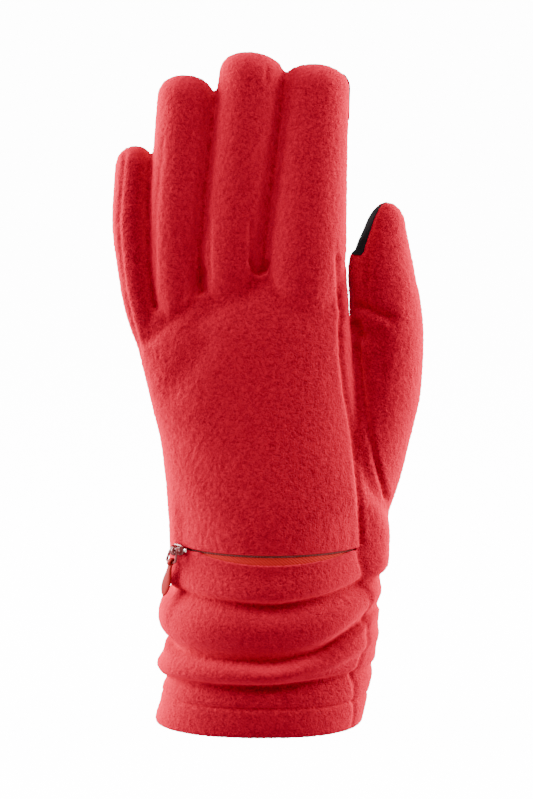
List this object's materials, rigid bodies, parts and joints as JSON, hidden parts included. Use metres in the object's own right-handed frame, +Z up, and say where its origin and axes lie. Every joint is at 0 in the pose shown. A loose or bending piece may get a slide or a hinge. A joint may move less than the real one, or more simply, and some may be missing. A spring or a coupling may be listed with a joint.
{
  "type": "fleece glove with zipped cuff pocket",
  "caption": "Left-hand fleece glove with touch patches and a zipped cuff pocket that stows a flip-over mitten hood.",
  "frame": {"origin": "under the middle of the glove, on the surface that its hem stands on", "axes": "+Z up towards the fingertips, -Y out of the back of the hand, +X towards the thumb"},
  "size_m": [0.1225, 0.0605, 0.2695],
  "materials": {
    "fleece": "short soft pile fleece",
    "lining": "thin woven lining",
    "zip_tape": "twill tape",
    "zip_coil": "nylon coil",
    "touch_patch": "matt conductive knit",
    "painted_zinc": "dark red enamel",
    "bare_steel": "bright",
    "tab_red": "smooth matt"
  },
  "bodies": {
    "hand": {"hand_back": "fleece", "hand_palm": "fleece", "thumb_gusset": "fleece", "cuff_back": "fleece", "cuff_palm": "fleece", "pocket_lining": "lining", "mitten_hood": "lining", "zip_tape_upper": "zip_tape", "zip_tape_lower": "zip_tape", "zip_coil_upper": "zip_coil", "zip_coil_lower": "zip_coil", "zip_bottom_stop": "bare_steel"},
    "little_finger": {"little_back": "fleece", "little_palm": "fleece", "little_strip_right": "fleece"},
    "ring_finger": {"ring_back": "fleece", "ring_palm": "fleece", "ring_strip_left": "fleece", "ring_strip_right": "fleece"},
    "middle_finger": {"middle_back": "fleece", "middle_palm": "fleece", "middle_strip_left": "fleece", "middle_strip_right": "fleece"},
    "index_finger": {"index_back": "fleece", "index_palm": "fleece", "index_strip_left": "fleece", "index_touch_patch": "touch_patch"},
    "thumb": {"thumb_back": "fleece", "thumb_palm": "fleece", "thumb_touch_patch": "touch_patch"},
    "slider": {"zip_slider": "painted_zinc"},
    "link": {"pull_link": "painted_zinc"},
    "tab": {"pull_tab": "tab_red"}
  },
  "joints": [
    {"name": "little_fold", "type": "hinge", "parent": "hand", "child": "little_finger", "pos_m": [-0.0508, 0.005, 0.168], "axis": [-0.9994, 0, -0.0338], "range_deg": [0, 60], "stiffness_Nm_per_rad": 0.02, "springref_deg": -2.86},
    {"name": "ring_fold", "type": "hinge", "parent": "hand", "child": "ring_finger", "pos_m": [-0.0363, 0.005, 0.181], "axis": [-0.9979, 0, 0.064], "range_deg": [0, 60], "stiffness_Nm_per_rad": 0.02, "springref_deg": -2.86},
    {"name": "middle_fold", "type": "hinge", "parent": "hand", "child": "middle_finger", "pos_m": [-0.0145, 0.005, 0.187], "axis": [-0.9945, 0, 0.1043], "range_deg": [0, 60], "stiffness_Nm_per_rad": 0.02, "springref_deg": -2.86},
    {"name": "index_fold", "type": "hinge", "parent": "hand", "child": "index_finger", "pos_m": [0.0145, 0.005, 0.188], "axis": [-0.9974, 0, 0.0717], "range_deg": [0, 60], "stiffness_Nm_per_rad": 0.02, "springref_deg": -2.86},
    {"name": "thumb_fold", "type": "hinge", "parent": "hand", "child": "thumb", "pos_m": [0.0482, 0.011, 0.168], "axis": [-0.9997, 0, -0.0235], "range_deg": [0, 40], "stiffness_Nm_per_rad": 0.02, "springref_deg": -2.86},
    {"name": "zip_run", "type": "hinge", "parent": "hand", "child": "slider", "pos_m": [0.002, 0.02, 0.0746], "axis": [0, 0, 1], "range_deg": [0, 84]},
    {"name": "link_swing", "type": "hinge", "parent": "slider", "child": "link", "pos_m": [-0.03688, -0.0169, 0.0746], "axis": [-0.6884, 0.7254, 0], "range_deg": [0, 100]},
    {"name": "tab_swing", "type": "hinge", "parent": "link", "child": "tab", "pos_m": [-0.03688, -0.0169, 0.0696], "axis": [-0.6884, 0.7254, 0], "range_deg": [0, 60]}
  ]
}
